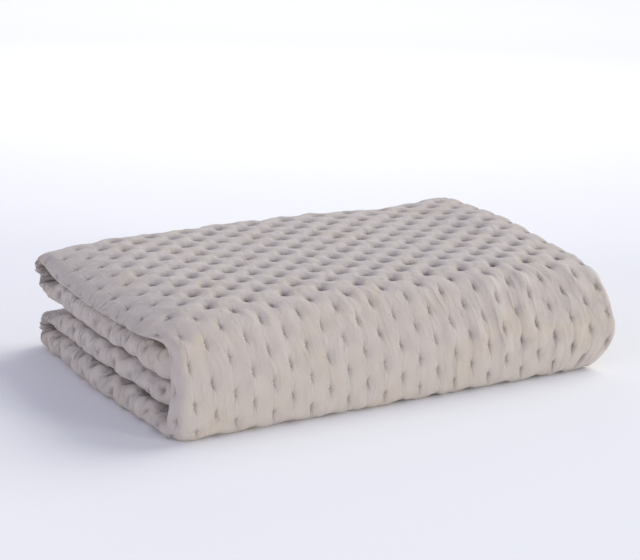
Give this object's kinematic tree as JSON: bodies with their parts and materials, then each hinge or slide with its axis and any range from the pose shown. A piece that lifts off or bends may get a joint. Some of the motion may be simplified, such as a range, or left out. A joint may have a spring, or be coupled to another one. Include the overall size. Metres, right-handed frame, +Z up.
{
  "type": "folded quilted coverlet",
  "caption": "Quilted bed coverlet with an all-over lattice of small tacked dimples, folded into a soft stack of bands with a rounded front and puckered end folds.",
  "frame": {"origin": "centre of the folded coverlet's outline, at the level of its underside", "axes": "+X along the folded bands from the closed end folds to the end with the free edges, +Y from the rounded front fold to the two back folds, +Z up"},
  "size_m": [0.6358, 0.4052, 0.137],
  "materials": {
    "quilted_cloth": "matte, softly brushed plain weave in warm greige, tack-quilted in a staggered lattice"
  },
  "bodies": {
    "root": {"coverlet": "quilted_cloth"}
  },
  "joints": []
}
